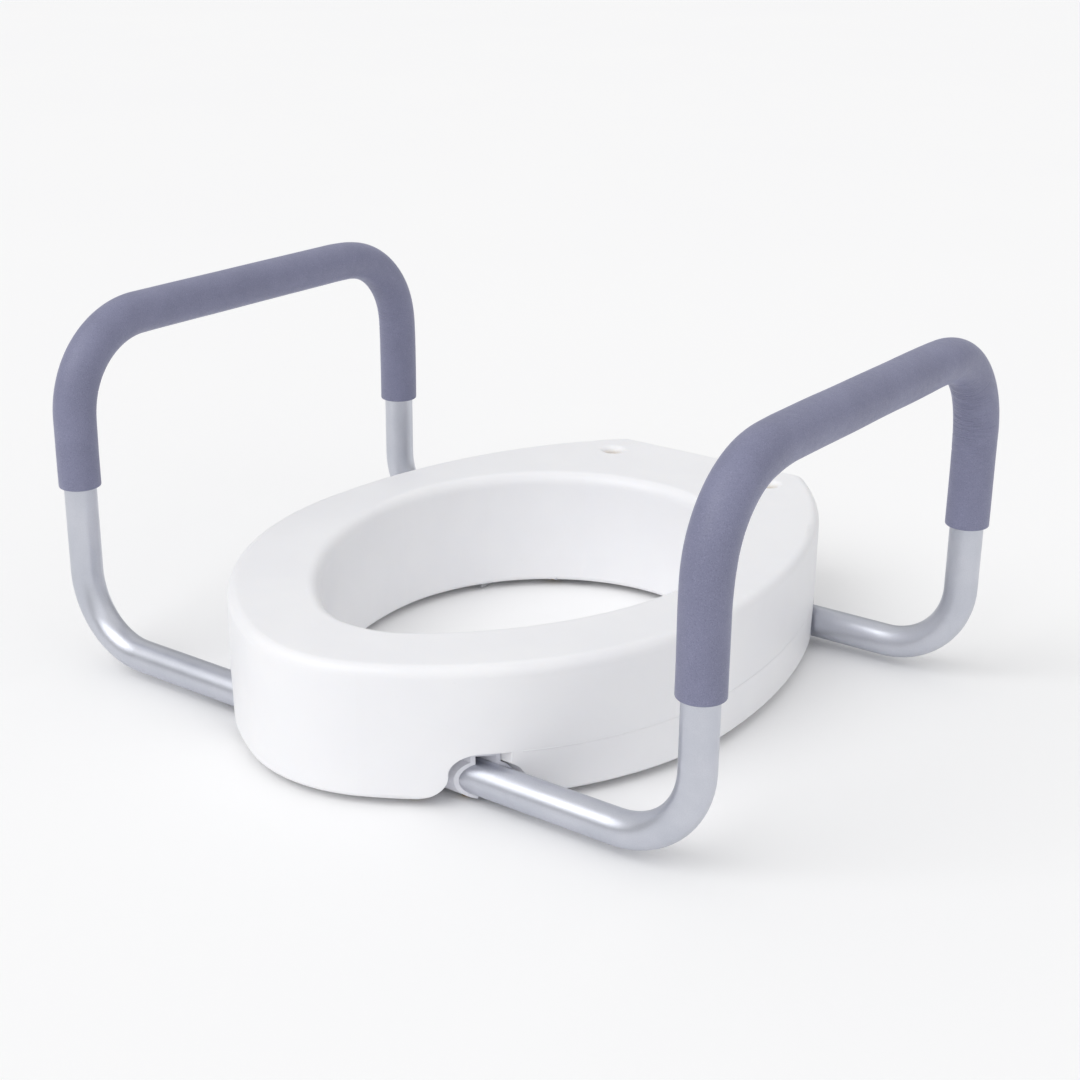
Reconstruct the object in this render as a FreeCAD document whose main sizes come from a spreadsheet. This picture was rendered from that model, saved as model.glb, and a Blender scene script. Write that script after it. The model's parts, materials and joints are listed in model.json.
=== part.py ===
import FreeCAD, Part
import math
import os

import Sketcher

# A raised toilet seat: a hollow moulded ring that stands on a toilet bowl, with a bent tube arm on
# each side. The two legs of each arm slide into sockets under the ring and latch with snap buttons.
#
# Frame: X to the user's left when seated (and the seat's right seen from the front), Y to the rear,
# Z up. The origin is on the floor plane of the rubber pads, under the middle of the bounding box.

V = FreeCAD.Vector
doc = FreeCAD.newDocument("raised_toilet_seat")

# ---------------------------------------------------------------------------- driving dimensions

DIMENSIONS = [
    ("seat_top", 91.9, "sitting surface over the bowl"),
    ("seat_bottom", 4.9, "underside of the 87 mm tall moulded ring, held up by the pads"),
    ("wall", 3.2, "wall thickness of the hollow ring"),
    ("half_width", 176.0, "half the ring's width"),
    ("widest_y", -16.0, "where the ring is widest"),
    ("front_tip", -241.75, "front end of the ring"),
    ("back_edge", 241.75, "straight back edge of the ring"),
    ("nose_radius", 98.0, "outline, front arc"),
    ("cheek_radius", 240.0, "outline, arcs beside the front one"),
    ("flank_radius", 260.0, "outline, arcs up to the widest point"),
    ("haunch_radius", 428.0, "outline, arcs behind the widest point"),
    ("tail_radius", 325.0, "outline, arcs before the back corners"),
    ("back_half", 75.0, "half the straight part of the back edge"),
    ("corner_radius", 12.0, "back corners"),
    ("hole_half", 126.0, "half the opening's width"),
    ("hole_widest_y", 15.5, "where the opening is widest"),
    ("hole_front", -180.0, "front end of the opening"),
    ("hole_back", 150.5, "rear end of the opening"),
    ("hole_nose", 60.0, "opening, front arc"),
    ("hole_cheek", 182.0, "opening, arcs beside the front one"),
    ("hole_flank", 233.0, "opening, arcs up to its widest point"),
    ("hole_haunch", 143.0, "opening, arcs behind its widest point"),
    ("hole_tail", 128.0, "opening, arcs before the rear one"),
    ("hole_end", 118.0, "opening, rear arc"),
    ("rim_outer", 7.0, "rounding of the top outer edge"),
    ("rim_inner", 8.5, "rounding of the top edge of the opening"),
    ("foot_round", 4.0, "rounding of the bottom edges"),
    ("bolt_half", 69.85, "half the hinge bolt spacing, 5.5 inches in all"),
    ("bolt_y", 206.0, "hinge bolt holes behind the opening"),
    ("bolt_radius", 6.5, "hinge bolt hole"),
    ("bolt_rim", 5.0, "rounded rim of the bolt hole"),
    ("tube_radius", 11.1125, "arm tube, 7/8 inch outside diameter"),
    ("tube_wall", 1.2, "arm tube wall"),
    ("tube_end", 56.0, "inner ends of the legs, from the middle"),
    ("arm_half", 248.5, "upright legs, from the middle"),
    ("front_leg", -182.0, "front legs"),
    ("rear_leg", 156.0, "rear legs"),
    ("leg_height", 16.0, "axis of the legs in their sockets"),
    ("arm_height", 238.9, "axis of the arm rest"),
    ("low_bend", 52.0, "bend radius at the foot of each upright"),
    ("high_bend", 62.0, "bend radius at the ends of the arm rest"),
    ("grip_radius", 14.4, "foam grip"),
    ("grip_bore", 11.15, "bore of the foam grip"),
    ("right_front_end", 112.5, "lower front end of the right grip"),
    ("right_rear_end", 113.5, "lower rear end of the right grip"),
    ("left_front_end", 129.5, "lower front end of the left grip"),
    ("left_rear_end", 115.0, "lower rear end of the left grip"),
    ("sleeve_bore", 11.19, "socket bore, a running fit on the tube"),
    ("sleeve_wall", 2.0, "socket wall"),
    ("sleeve_start", 53.0, "inner end of each socket, from the middle"),
    ("key_half", 4.4, "half the keyway on top of the bore"),
    ("key_top", 15.6, "top of the keyway over the leg's axis"),
    ("mouth_inset", 5.5, "the socket mouth lies this far inside the ring's side"),
    ("channel_start", 52.0, "inner end of the channels under the ring"),
    ("channel_gap", 0.8, "room round the socket in its channel"),
    ("relief_side", 19.6, "side of the finger relief at the mouth, from the leg's axis"),
    ("relief_top", 19.5, "roof of the finger relief, over the leg's axis"),
    ("relief_arch", 13.3, "arch radius of the finger relief"),
    ("relief_flare", 16.0, "rounding of the relief's foot"),
    ("relief_heel", 3.0, "rounding of the channel's other foot at the mouth"),
    ("relief_front", 74.0, "inner end of the front reliefs"),
    ("relief_rear", 106.0, "inner end of the rear reliefs"),
    ("ear_front", 65.0, "fixing ears of the front sockets, from the middle"),
    ("ear_rear", 76.0, "fixing ears of the rear sockets, from the middle"),
    ("ear_half", 7.0, "half an ear's width"),
    ("ear_reach", 26.0, "ear tips, from the leg's axis"),
    ("ear_thick", 2.4, "ear thickness"),
    ("ear_screw", 20.0, "screws, from the leg's axis"),
    ("screw_radius", 1.9, "screw shank"),
    ("screw_hole", 2.0, "screw hole in the ear and the ring"),
    ("screw_length", 12.0, "screw under its head"),
    ("screw_head", 3.6, "pan head"),
    ("screw_head_height", 2.2, "pan head"),
    ("button_front", 87.0, "front snap buttons, from the middle"),
    ("button_rear", 116.0, "rear snap buttons, from the middle"),
    ("button_radius", 3.0, "snap button"),
    ("button_tip", 15.4, "button tip, below the leg's axis"),
    ("button_flange", 4.2, "button's inner flange"),
    ("button_seat", 8.8, "underside of the flange, below the leg's axis"),
    ("flange_thick", 0.8, "flange thickness"),
    ("window_radius", 3.3, "button hole in the tube and in the socket"),
    ("latch_bridge", 1.5, "bar of the socket that holds the button"),
    ("leaf_thick", 0.5, "button spring strip"),
    ("leaf_width", 6.0, "button spring strip"),
    ("leaf_run", 19.0, "button to the bend of its spring"),
    ("leaf_low", 7.75, "lower leaf, below the leg's axis"),
    ("leaf_high", 8.9, "upper leaf, above the leg's axis"),
    ("pad_width", 22.0, "rubber pad"),
    ("pad_length", 40.0, "rubber pad"),
    ("pad_corner", 0.4, "rubber pad, upright corners"),
    ("pad_foot", 1.2, "rubber pad, rounding of its bottom edges"),
    ("pad_recess", 2.0, "depth of the pad's recess"),
    ("pad_gap", 0.2, "room round the pad in its recess"),
    ("pad_x", 122.0, "pads, from the middle"),
    ("pad_y", 110.0, "pads, ahead of and behind the middle"),
]

sheet = doc.addObject("Spreadsheet::Sheet", "dims")
for row, (alias, number, meaning) in enumerate(DIMENSIONS, start=1):
    sheet.set(f"A{row}", meaning)
    sheet.set(f"B{row}", str(number))
    sheet.setAlias(f"B{row}", alias)
doc.recompute()


class Size:
    """A length with the sheet expression that gives it."""

    def __init__(self, value, text):
        self.value = float(value)
        self.text = text

    def joined(self, other, sign, value):
        text = other.text if isinstance(other, Size) else str(other)
        return Size(value, f"({self.text} {sign} {text})")

    def __add__(self, other):
        return self.joined(other, "+", self.value + number_of(other))

    def __sub__(self, other):
        return self.joined(other, "-", self.value - number_of(other))

    def __mul__(self, other):
        return self.joined(other, "*", self.value * number_of(other))

    def __neg__(self):
        return Size(-self.value, f"(-1 * {self.text})")


def number_of(item):
    return item.value if isinstance(item, Size) else float(item)


def dim(alias):
    """The sheet's cell of that name."""
    return Size(sheet.get(alias), f"dims.{alias}")


# ------------------------------------------------------------------------------ document helpers


def bind(item, prop, size):
    """Drive a property of an object with a sheet expression."""
    item.setExpression(prop, size.text)


def place(item, across=None, along=None, up=None, turn=0.0):
    """Put an object in the frame, turned about Z, with its place driven by the sheet."""
    item.Placement = FreeCAD.Placement(V(0, 0, 0), FreeCAD.Rotation(V(0, 0, 1), turn))
    for axis, size in (("x", across), ("y", along), ("z", up)):
        if size is not None:
            bind(item, f"Placement.Base.{axis}", size)


def new_body(name):
    return doc.addObject("PartDesign::Body", name)


def new_sketch(body, name, plane, offset=None):
    """A sketch on one of the body's own origin planes, lifted along the plane's normal."""
    sketch = body.newObject("Sketcher::SketchObject", name)
    origin = [item for item in body.Origin.OriginFeatures if item.Role == plane][0]
    sketch.AttachmentSupport = [(origin, "")]
    sketch.MapMode = "FlatFace"
    if offset is not None:
        bind(sketch, "AttachmentOffset.Base.z", offset)
    doc.recompute()
    return sketch


def hold(sketch, name, size, kind, *items):
    """A named driving constraint of a sketch, bound to the sheet."""
    index = sketch.addConstraint(Sketcher.Constraint(kind, *items, size.value))
    sketch.renameConstraint(index, name)
    sketch.setExpression(f".Constraints.{name}", size.text)


def settle(sketch):
    """Recompute a sketch and stop if its constraints don't solve."""
    doc.recompute()
    if sketch.solve() != 0:
        raise RuntimeError(f"{sketch.Name} doesn't solve")


def add_pad(body, name, sketch, length, midplane=False, reverse=False):
    pad = body.newObject("PartDesign::Pad", name)
    pad.Profile = sketch
    bind(pad, "Length", length)
    pad.Midplane = midplane
    pad.Reversed = reverse
    doc.recompute()
    return pad


def add_pocket(body, name, sketch, length, reverse=False):
    """A pocket that must remove material."""
    before = body.Shape.Volume
    pocket = body.newObject("PartDesign::Pocket", name)
    pocket.Profile = sketch
    bind(pocket, "Length", length)
    pocket.Reversed = reverse
    doc.recompute()
    if body.Shape.Volume > before - 1e-3:
        raise RuntimeError(f"{name} cuts nothing")
    return pocket


def add_fillet(body, name, base, edges, radius):
    fillet = body.newObject("PartDesign::Fillet", name)
    fillet.Base = (base, edges)
    bind(fillet, "Radius", radius)
    doc.recompute()
    return fillet


def edges_where(shape, test):
    """Names of the edges whose middle point and bounding box pass a test."""
    names = []
    for index, edge in enumerate(shape.Edges, start=1):
        middle = edge.valueAt((edge.FirstParameter + edge.LastParameter) / 2)
        if test(middle, edge.BoundBox):
            names.append(f"Edge{index}")
    return names


def rectangle(sketch, name, left, right, low, high):
    """A constrained rectangle between four sizes."""
    corners = [
        V(left.value, low.value),
        V(right.value, low.value),
        V(right.value, high.value),
        V(left.value, high.value),
    ]
    first = sketch.GeometryCount
    for index in range(4):
        sketch.addGeometry(Part.LineSegment(corners[index], corners[(index + 1) % 4]), False)
    for index in range(4):
        here = first + index
        there = first + (index + 1) % 4
        sketch.addConstraint(Sketcher.Constraint("Coincident", here, 2, there, 1))
        kind = "Horizontal" if index % 2 == 0 else "Vertical"
        sketch.addConstraint(Sketcher.Constraint(kind, here))
    hold(sketch, f"{name}_left", left, "DistanceX", -1, 1, first, 1)
    hold(sketch, f"{name}_low", low, "DistanceY", -1, 1, first, 1)
    hold(sketch, f"{name}_right", right, "DistanceX", -1, 1, first + 1, 2)
    hold(sketch, f"{name}_high", high, "DistanceY", -1, 1, first + 1, 2)


def circle(sketch, name, across, along, radius):
    """A constrained circle."""
    centre = V(across.value, along.value)
    index = sketch.addGeometry(Part.Circle(centre, V(0, 0, 1), radius.value), False)
    hold(sketch, f"{name}_radius", radius, "Radius", index)
    if across.value == 0:
        sketch.addConstraint(Sketcher.Constraint("PointOnObject", index, 3, -2))
    else:
        hold(sketch, f"{name}_across", across, "DistanceX", -1, 1, index, 3)
    if along.value == 0:
        sketch.addConstraint(Sketcher.Constraint("PointOnObject", index, 3, -1))
    else:
        hold(sketch, f"{name}_along", along, "DistanceY", -1, 1, index, 3)


def outline(sketch, points):
    """A closed outline of lines and arcs. Each entry is a corner and the way on to the next one:
    None for a line, or an arc's centre and radius, the radius negative if the arc runs clockwise.
    Every corner and centre is fixed by its coordinates from the sheet."""
    first = sketch.GeometryCount
    count = len(points)
    for index, (corner, bulge) in enumerate(points):
        start = V(corner[0].value, corner[1].value)
        after = points[(index + 1) % count][0]
        end = V(after[0].value, after[1].value)
        if bulge is None:
            sketch.addGeometry(Part.LineSegment(start, end), False)
        else:
            centre, radius = bulge
            middle = V(centre[0].value, centre[1].value)
            low = math.atan2(start.y - middle.y, start.x - middle.x)
            high = math.atan2(end.y - middle.y, end.x - middle.x)
            if radius.value < 0:
                low, high = high, low
            if high < low:
                high += 2 * math.pi
            ring = Part.Circle(middle, V(0, 0, 1), abs(radius.value))
            sketch.addGeometry(Part.ArcOfCircle(ring, low, high), False)
    for index, (corner, bulge) in enumerate(points):
        here = first + index
        there = first + (index + 1) % count
        end = 1 if bulge is not None and bulge[1].value < 0 else 2
        after = points[(index + 1) % count][1]
        start = 2 if after is not None and after[1].value < 0 else 1
        sketch.addConstraint(Sketcher.Constraint("Coincident", here, end, there, start))
    for index, (corner, bulge) in enumerate(points):
        here = first + index
        start = 2 if bulge is not None and bulge[1].value < 0 else 1
        hold(sketch, f"c{here}_across", corner[0], "DistanceX", -1, 1, here, start)
        hold(sketch, f"c{here}_up", corner[1], "DistanceY", -1, 1, here, start)
        if bulge is not None:
            after = points[(index + 1) % count][0]
            run = abs(after[0].value - corner[0].value)
            rise = abs(after[1].value - corner[1].value)
            if rise > run:
                hold(sketch, f"c{here}_centre", bulge[0][0], "DistanceX", -1, 1, here, 3)
            else:
                hold(sketch, f"c{here}_centre", bulge[0][1], "DistanceY", -1, 1, here, 3)


# --------------------------------------------------------------------- outlines of tangent arcs


def circles_meet(first, first_radius, second, second_radius):
    """The meeting point of two circles on the right of the way from the first to the second."""
    between = second - first
    span = between.Length
    reach = (first_radius**2 - second_radius**2 + span**2) / (2 * span)
    rise = math.sqrt(first_radius**2 - reach**2)
    way = between * (1 / span)
    return first + way * reach + V(way.y, -way.x) * rise


def arc_between(centre, radius, start, end):
    low = math.atan2(start.y - centre.y, start.x - centre.x)
    high = math.atan2(end.y - centre.y, end.x - centre.x)
    while high < low:
        high += 2 * math.pi
    return Part.ArcOfCircle(Part.Circle(centre, V(0, 0, 1), radius), low, high)


def on_line(centre, beyond, radius):
    """The point at that radius from the centre, away from the other point."""
    return centre + (centre - beyond) * (radius / (centre - beyond).Length)


def mirrored(point):
    return V(-point.x, point.y)


def front_arcs(half, widest, tip, radii):
    """Centres and joints of the right front arcs: nose, cheek and flank."""
    nose, cheek, flank = radii
    nose_centre = V(0, tip + nose)
    flank_centre = V(half - flank, widest)
    cheek_centre = circles_meet(nose_centre, cheek - nose, flank_centre, flank - cheek)
    joints = [
        on_line(nose_centre, cheek_centre, nose),
        on_line(cheek_centre, flank_centre, cheek),
        V(half, widest),
    ]
    return [nose_centre, cheek_centre, flank_centre], joints


def rear_arcs(half, widest, end_centre, radii):
    """Centres and joints of the right rear arcs: haunch, tail and the last one."""
    haunch, tail, last = radii
    haunch_centre = V(half - haunch, widest)
    tail_centre = circles_meet(haunch_centre, haunch - tail, end_centre, tail - last)
    joints = [
        haunch_centre + (tail_centre - haunch_centre) * (haunch / (haunch - tail)),
        tail_centre + (end_centre - tail_centre) * (tail / (tail - last)),
    ]
    return [haunch_centre, tail_centre, end_centre], joints


def join_loop(sketch, first, count):
    """Each element runs on tangent into the next."""
    for index in range(count):
        here = first + index
        there = first + (index + 1) % count
        sketch.addConstraint(Sketcher.Constraint("Tangent", here, 2, there, 1))


def hold_front(sketch, prefix, first, last, half, widest, tip, radii):
    """Fix the nose, cheek and flank arcs of both sides and the haunches behind them."""
    nose, cheek, flank, haunch = radii
    sketch.addConstraint(Sketcher.Constraint("PointOnObject", first, 3, -2))
    hold(sketch, f"{prefix}_tip", tip + nose, "DistanceY", -1, 1, first, 3)
    hold(sketch, f"{prefix}_nose", nose, "Radius", first)
    sides = (("r", first + 1, first + 2, first + 3, 1), ("l", last, last - 1, last - 2, -1))
    for side, near, middle, far, sign in sides:
        hold(sketch, f"{prefix}_cheek_{side}", cheek, "Radius", near)
        hold(sketch, f"{prefix}_flank_{side}", flank, "Radius", middle)
        hold(sketch, f"{prefix}_haunch_{side}", haunch, "Radius", far)
        offset = (half - flank) * sign
        hold(sketch, f"{prefix}_side_{side}", offset, "DistanceX", -1, 1, middle, 3)
        hold(sketch, f"{prefix}_wide_{side}", widest, "DistanceY", -1, 1, middle, 3)
        hold(sketch, f"{prefix}_rear_{side}", widest, "DistanceY", -1, 1, far, 3)


def draw_ring_outline(sketch, inset):
    """The ring's outer outline, moved inward by an inset."""
    half = dim("half_width") - inset
    widest = dim("widest_y")
    tip = dim("front_tip") + inset
    back = dim("back_edge") - inset
    names = ("nose_radius", "cheek_radius", "flank_radius", "haunch_radius", "tail_radius")
    nose, cheek, flank, haunch, tail = [dim(name) - inset for name in names]
    corner = dim("corner_radius") - inset
    flat = dim("back_half")
    centres, joints = front_arcs(
        half.value, widest.value, tip.value, (nose.value, cheek.value, flank.value)
    )
    corner_centre = V(flat.value, back.value - corner.value)
    rear_centres, rear_joints = rear_arcs(
        half.value, widest.value, corner_centre, (haunch.value, tail.value, corner.value)
    )
    back_end = V(flat.value, back.value)
    right = [
        (centres[1], cheek.value, joints[0], joints[1]),
        (centres[2], flank.value, joints[1], joints[2]),
        (rear_centres[0], haunch.value, joints[2], rear_joints[0]),
        (rear_centres[1], tail.value, rear_joints[0], rear_joints[1]),
        (rear_centres[2], corner.value, rear_joints[1], back_end),
    ]
    first = sketch.GeometryCount
    sketch.addGeometry(arc_between(centres[0], nose.value, mirrored(joints[0]), joints[0]), False)
    for centre, radius, start, end in right:
        sketch.addGeometry(arc_between(centre, radius, start, end), False)
    sketch.addGeometry(Part.LineSegment(back_end, mirrored(back_end)), False)
    for centre, radius, start, end in reversed(right):
        arc = arc_between(mirrored(centre), radius, mirrored(end), mirrored(start))
        sketch.addGeometry(arc, False)
    join_loop(sketch, first, 12)
    last = first + 11
    hold_front(sketch, "ring", first, last, half, widest, tip, (nose, cheek, flank, haunch))
    for side, arc, bend in (("r", first + 4, first + 5), ("l", last - 3, last - 4)):
        hold(sketch, f"ring_tail_{side}", tail, "Radius", arc)
        hold(sketch, f"ring_corner_{side}", corner, "Radius", bend)
    hold(sketch, "ring_back", back, "DistanceY", -1, 1, first + 6, 1)
    hold(sketch, "ring_flat_r", flat, "DistanceX", -1, 1, first + 6, 1)
    hold(sketch, "ring_flat_l", -flat, "DistanceX", -1, 1, first + 6, 2)
    sketch.addConstraint(Sketcher.Constraint("Horizontal", first + 6))


def draw_opening(sketch, growth):
    """The opening's outline, moved outward by a growth."""
    half = dim("hole_half") + growth
    widest = dim("hole_widest_y")
    tip = dim("hole_front") - growth
    back = dim("hole_back") + growth
    names = ("hole_nose", "hole_cheek", "hole_flank", "hole_haunch", "hole_tail", "hole_end")
    nose, cheek, flank, haunch, tail, end = [dim(name) + growth for name in names]
    centres, joints = front_arcs(
        half.value, widest.value, tip.value, (nose.value, cheek.value, flank.value)
    )
    end_centre = V(0, back.value - end.value)
    rear_centres, rear_joints = rear_arcs(
        half.value, widest.value, end_centre, (haunch.value, tail.value, end.value)
    )
    right = [
        (centres[1], cheek.value, joints[0], joints[1]),
        (centres[2], flank.value, joints[1], joints[2]),
        (rear_centres[0], haunch.value, joints[2], rear_joints[0]),
        (rear_centres[1], tail.value, rear_joints[0], rear_joints[1]),
    ]
    first = sketch.GeometryCount
    sketch.addGeometry(arc_between(centres[0], nose.value, mirrored(joints[0]), joints[0]), False)
    for centre, radius, start, stop in right:
        sketch.addGeometry(arc_between(centre, radius, start, stop), False)
    rear = arc_between(end_centre, end.value, rear_joints[1], mirrored(rear_joints[1]))
    sketch.addGeometry(rear, False)
    for centre, radius, start, stop in reversed(right):
        arc = arc_between(mirrored(centre), radius, mirrored(stop), mirrored(start))
        sketch.addGeometry(arc, False)
    join_loop(sketch, first, 10)
    last = first + 9
    hold_front(sketch, "hole", first, last, half, widest, tip, (nose, cheek, flank, haunch))
    for side, arc in (("r", first + 4), ("l", last - 3)):
        hold(sketch, f"hole_tail_{side}", tail, "Radius", arc)
    hold(sketch, "hole_end", end, "Radius", first + 5)
    hold(sketch, "hole_back", back - end, "DistanceY", -1, 1, first + 5, 3)
    sketch.addConstraint(Sketcher.Constraint("PointOnObject", first + 5, 3, -2))


# ------------------------------------------------------------------------------------ seat body

seat_height = dim("seat_top") - dim("seat_bottom")
LEGS = {
    "front": {
        "y": dim("front_leg"),
        "out": -1,
        "ear": dim("ear_front"),
        "relief": dim("relief_front"),
        "button": dim("button_front"),
    },
    "rear": {
        "y": dim("rear_leg"),
        "out": 1,
        "ear": dim("ear_rear"),
        "relief": dim("relief_rear"),
        "button": dim("button_rear"),
    },
}
sleeve_outer = dim("sleeve_bore") + dim("sleeve_wall")
key_outer_half = dim("key_half") + dim("sleeve_wall")
key_outer_top = dim("key_top") + dim("sleeve_wall")
channel_radius = sleeve_outer + dim("channel_gap")
channel_key_half = key_outer_half + dim("channel_gap")
channel_top = key_outer_top + dim("channel_gap")


def chord(radius, half):
    """How far a chord of that half width lies from the centre of a circle."""
    value = math.sqrt(radius.value**2 - half.value**2)
    return Size(value, f"sqrt(({radius.text}) ^ 2 - ({half.text}) ^ 2)")


def channel_profile(sketch, leg):
    """The channel that the socket fills from below, across its leg."""
    middle = leg["y"]
    axis = dim("leg_height")
    radius = channel_radius
    low = dim("seat_bottom") - 10
    shoulder = axis + chord(radius, channel_key_half)
    roof = axis + channel_top
    centre = (middle, axis)
    outline(
        sketch,
        [
            ((middle - radius, low), None),
            ((middle + radius, low), None),
            ((middle + radius, axis), (centre, radius)),
            ((middle + channel_key_half, shoulder), None),
            ((middle + channel_key_half, roof), None),
            ((middle - channel_key_half, roof), None),
            ((middle - channel_key_half, shoulder), (centre, radius)),
            ((middle - radius, axis), None),
        ],
    )


def relief_profile(sketch, leg):
    """The wider mouth of the channel, arched on its outer side, with rounded feet."""
    middle = leg["y"]
    out = leg["out"]
    axis = dim("leg_height")
    bottom = dim("seat_bottom")
    low = bottom - 10
    flare = dim("relief_flare")
    heel = dim("relief_heel")
    arch = dim("relief_arch")
    roof = axis + dim("relief_top")
    side = dim("relief_side")

    def across(distance):
        return middle + distance * out

    turn = 1 if out > 0 else -1
    inner = channel_radius * -1
    points = [
        ((across(inner - heel), low), None),
        ((across(side + flare), low), None),
        (
            (across(side + flare), bottom),
            ((across(side + flare), bottom + flare), flare * -turn),
        ),
        ((across(side), bottom + flare), None),
        ((across(side), roof - arch), ((across(side - arch), roof - arch), arch * turn)),
        ((across(side - arch), roof), None),
        ((across(channel_key_half * -1), roof), None),
        ((across(channel_key_half * -1), axis + chord(channel_radius, channel_key_half)),
         ((middle, axis), channel_radius * turn)),
        ((across(inner), axis), None),
        ((across(inner), bottom + heel),
         ((across(inner - heel), bottom + heel), heel * -turn)),
        ((across(inner - heel), bottom), None),
    ]
    outline(sketch, points)


def build_seat_outside():
    """The ring's outside: plan, rounded edges, bolt holes, socket channels, pad recesses."""
    body = new_body("seat_outside")
    plan = new_sketch(body, "ring_plan", "XY_Plane", dim("seat_bottom"))
    draw_ring_outline(plan, Size(0, "0"))
    draw_opening(plan, Size(0, "0"))
    settle(plan)
    ring = add_pad(body, "ring_block", plan, seat_height)

    bolts = new_sketch(body, "bolt_plan", "XY_Plane", dim("seat_bottom"))
    circle(bolts, "right", dim("bolt_half"), dim("bolt_y"), dim("bolt_radius"))
    circle(bolts, "left", -dim("bolt_half"), dim("bolt_y"), dim("bolt_radius"))
    settle(bolts)
    ring = add_pocket(body, "bolt_holes", bolts, seat_height, reverse=True)

    top = dim("seat_top").value
    bottom = dim("seat_bottom").value
    bolt_y = dim("bolt_y").value
    bolt_x = dim("bolt_half").value

    def at_bolt(point):
        return math.hypot(abs(point.x) - bolt_x, point.y - bolt_y) < 15

    def in_opening(point):
        middle = dim("hole_widest_y").value
        across = point.x / (dim("hole_half").value + 5)
        along = (point.y - middle) / ((dim("hole_back").value + 5) - middle)
        if point.y < middle:
            along = (point.y - middle) / (middle - (dim("hole_front").value - 5))
        return across**2 + along**2 < 1

    def level(box, height):
        return abs(box.ZMin - height) < 1e-3 and abs(box.ZMax - height) < 1e-3

    rims = [
        ("rim_outer", top, lambda p: not at_bolt(p) and not in_opening(p)),
        ("rim_inner", top, lambda p: not at_bolt(p) and in_opening(p)),
        ("bolt_rim", top, at_bolt),
        ("foot_round", bottom, lambda p: not at_bolt(p)),
    ]
    for alias, height, which in rims:
        names = edges_where(
            ring.Shape, lambda point, box: level(box, height) and which(point)
        )
        ring = add_fillet(body, f"{alias}_fillet", ring, names, dim(alias))

    cuts = []
    channels = new_sketch(body, "channel_section", "YZ_Plane", dim("channel_start"))
    for leg in LEGS.values():
        channel_profile(channels, leg)
    settle(channels)
    cuts.append(add_pocket(body, "channels", channels, dim("half_width"), reverse=True))
    for name, leg in LEGS.items():
        relief = new_sketch(body, f"{name}_relief_section", "YZ_Plane", leg["relief"])
        relief_profile(relief, leg)
        settle(relief)
        cuts.append(
            add_pocket(body, f"{name}_relief", relief, dim("half_width"), reverse=True)
        )

    ears = new_sketch(body, "ear_plan", "XY_Plane", dim("seat_bottom"))
    screws = new_sketch(body, "screw_plan", "XY_Plane", dim("seat_bottom"))
    for name, leg in LEGS.items():
        reach = dim("ear_reach") + dim("channel_gap")
        half = dim("ear_half") + dim("channel_gap")
        rectangle(
            ears, name, leg["ear"] - half, leg["ear"] + half, leg["y"] - reach, leg["y"] + reach
        )
        for side, sign in (("near", -1), ("far", 1)):
            along = leg["y"] + dim("ear_screw") * sign
            circle(screws, f"{name}_{side}", leg["ear"], along, dim("screw_hole"))
    settle(ears)
    settle(screws)
    cuts.append(add_pocket(body, "ear_recess", ears, dim("ear_thick"), reverse=True))
    cuts.append(
        add_pocket(body, "screw_pilots", screws, dim("screw_length") + 1, reverse=True)
    )
    mirror = body.newObject("PartDesign::Mirrored", "left_side")
    mirror.Originals = cuts
    middle = [item for item in body.Origin.OriginFeatures if item.Role == "YZ_Plane"][0]
    mirror.MirrorPlane = (middle, [""])
    body.Tip = mirror
    doc.recompute()

    pads = new_sketch(body, "pad_plan", "XY_Plane", dim("seat_bottom"))
    for name, across, along in pad_places():
        half = dim("pad_width") * 0.5 + dim("pad_gap")
        reach = dim("pad_length") * 0.5 + dim("pad_gap")
        rectangle(pads, name, across - half, across + half, along - reach, along + reach)
    settle(pads)
    add_pocket(body, "pad_recesses", pads, dim("pad_recess"), reverse=True)
    return body


def pad_places():
    """Name and place of each rubber pad."""
    places = []
    for end, y_sign in (("front", -1), ("rear", 1)):
        for side, x_sign in (("left", -1), ("right", 1)):
            places.append((f"{end}_{side}_pad", dim("pad_x") * x_sign, dim("pad_y") * y_sign))
    return places


def box(name, left, right, near, far, low, high):
    """A bound Part box between six sizes."""
    item = doc.addObject("Part::Box", name)
    bind(item, "Length", right - left)
    bind(item, "Width", far - near)
    bind(item, "Height", high - low)
    place(item, left, near, low)
    return item


def rod(name, across, along, low, radius, height):
    """A bound upright Part cylinder."""
    item = doc.addObject("Part::Cylinder", name)
    bind(item, "Radius", radius)
    bind(item, "Height", height)
    place(item, across, along, low)
    return item


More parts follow.
